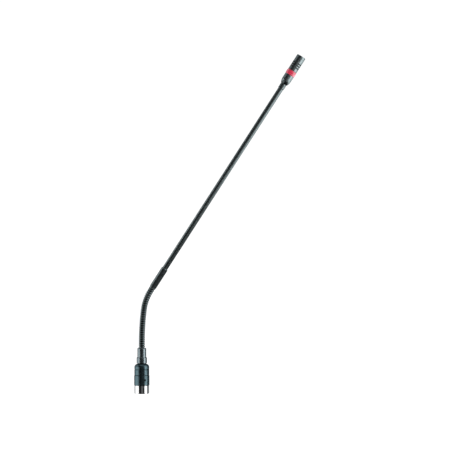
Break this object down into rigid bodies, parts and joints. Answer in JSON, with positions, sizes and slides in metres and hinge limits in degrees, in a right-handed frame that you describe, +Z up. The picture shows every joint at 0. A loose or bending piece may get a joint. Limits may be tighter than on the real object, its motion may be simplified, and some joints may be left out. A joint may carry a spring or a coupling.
{
  "type": "gooseneck podium microphone",
  "caption": "Slim lectern microphone on a bendable wound neck, with a light ring below its head and a round contact plug as its foot.",
  "frame": {"origin": "centre of the plug barrel's open end face, where the socket holds it", "axes": "+Z up along the plug's axis; the neck leans towards +X in the XZ plane; -Y faces the viewer"},
  "size_m": [0.2217, 0.0198, 0.4394],
  "materials": {
    "chrome_plate": "polished chrome plate",
    "insert_plastic": "black moulded plastic",
    "contact_metal": "silver plated contacts",
    "brass": "plain brass",
    "housing_black": "satin blue-black coat on turned metal",
    "screw_steel": "blackened steel",
    "circuit_board": "green solder mask",
    "can_metal": "drawn aluminium can",
    "rubber": "matt black rubber",
    "ferrule_gunmetal": "satin gunmetal",
    "coil_black": "blackened wound wire",
    "cable_jacket": "black cable jacket",
    "tube_black": "satin black",
    "head_black": "satin black coat on turned metal",
    "light_ring_red": "translucent red plastic, lit from inside",
    "led": "lamp lens",
    "screen_cloth": "black acoustic cloth",
    "foam": "open black foam",
    "grille_black": "black wire mesh"
  },
  "bodies": {
    "foot": {"plug_barrel": "chrome_plate", "plug_insert": "insert_plastic", "contact_pin_1": "contact_metal", "contact_pin_2": "contact_metal", "contact_pin_3": "contact_metal", "earth_tab": "brass", "housing_lower_shell": "housing_black", "lock_screw": "screw_steel", "housing_ring": "housing_black", "housing_cap": "housing_black", "preamp_board": "circuit_board", "board_capacitor_1": "can_metal", "board_capacitor_2": "can_metal", "board_chip": "insert_plastic", "ferrule_washer": "rubber", "neck_ferrule": "ferrule_gunmetal", "ferrule_nut": "brass", "neck_coil_00": "coil_black", "signal_cable": "cable_jacket"},
    "neck_link_01": {"neck_coil_01": "coil_black"},
    "neck_link_02": {"neck_coil_02": "coil_black"},
    "neck_link_03": {"neck_coil_03": "coil_black"},
    "neck_link_04": {"neck_coil_04": "coil_black"},
    "neck_link_05": {"neck_coil_05": "coil_black"},
    "neck_link_06": {"neck_coil_06": "coil_black"},
    "neck_link_07": {"neck_coil_07": "coil_black"},
    "neck_link_08": {"neck_coil_08": "coil_black"},
    "neck_link_09": {"neck_coil_09": "coil_black"},
    "neck_link_10": {"neck_coil_10": "coil_black"},
    "neck_link_11": {"neck_coil_11": "coil_black"},
    "head": {"neck_coil_12": "coil_black", "coupling_sleeve": "tube_black", "neck_tube": "tube_black", "head_collar": "tube_black", "head_base": "head_black", "light_ring": "light_ring_red", "led_board": "circuit_board", "led_1": "led", "led_2": "led", "led_3": "led", "led_4": "led", "capsule_housing": "head_black", "capsule_board": "circuit_board", "capsule": "can_metal", "capsule_gasket": "rubber", "acoustic_screen": "screen_cloth", "front_foam": "foam", "front_grille": "grille_black"}
  },
  "joints": [
    {"name": "side_bend_1", "type": "hinge", "parent": "foot", "child": "neck_link_01", "pos_m": [0, 0, 0.06215], "axis": [0.001, 1, 0], "range_deg": [-18, 15], "deforming": ["signal_cable"]},
    {"name": "fore_bend_1", "type": "hinge", "parent": "neck_link_01", "child": "neck_link_02", "pos_m": [0.00001, 0, 0.06886], "axis": [1, 0, -0.0074], "range_deg": [-16, 16]},
    {"name": "side_bend_2", "type": "hinge", "parent": "neck_link_02", "child": "neck_link_03", "pos_m": [0.00012, 0, 0.07557], "axis": [0.001, 1, 0], "range_deg": [-18, 15]},
    {"name": "fore_bend_2", "type": "hinge", "parent": "neck_link_03", "child": "neck_link_04", "pos_m": [0.00037, 0, 0.08227], "axis": [0.9989, 0, -0.0464], "range_deg": [-16, 16]},
    {"name": "side_bend_3", "type": "hinge", "parent": "neck_link_04", "child": "neck_link_05", "pos_m": [0.00075, 0, 0.08897], "axis": [0.001, 1, 0], "range_deg": [-18, 15]},
    {"name": "fore_bend_3", "type": "hinge", "parent": "neck_link_05", "child": "neck_link_06", "pos_m": [0.00125, 0, 0.09566], "axis": [0.9964, 0, -0.0852], "range_deg": [-16, 16]},
    {"name": "side_bend_4", "type": "hinge", "parent": "neck_link_06", "child": "neck_link_07", "pos_m": [0.00189, 0, 0.10234], "axis": [0.001, 1, 0], "range_deg": [-20, 5]},
    {"name": "fore_bend_4", "type": "hinge", "parent": "neck_link_07", "child": "neck_link_08", "pos_m": [0.00266, 0, 0.109], "axis": [0.991, 0, -0.1336], "range_deg": [-16, 16]},
    {"name": "side_bend_5", "type": "hinge", "parent": "neck_link_08", "child": "neck_link_09", "pos_m": [0.00392, 0, 0.11559], "axis": [0.001, 1, 0], "range_deg": [-20, 5]},
    {"name": "fore_bend_5", "type": "hinge", "parent": "neck_link_09", "child": "neck_link_10", "pos_m": [0.00592, 0, 0.12199], "axis": [0.9369, 0, -0.3497], "range_deg": [-16, 16]},
    {"name": "side_bend_6", "type": "hinge", "parent": "neck_link_10", "child": "neck_link_11", "pos_m": [0.00861, 0, 0.12813], "axis": [0.001, 1, 0], "range_deg": [-20, 5]},
    {"name": "fore_bend_6", "type": "hinge", "parent": "neck_link_11", "child": "head", "pos_m": [0.01196, 0, 0.13393], "axis": [0.8406, 0, -0.5417], "range_deg": [-16, 16]}
  ]
}
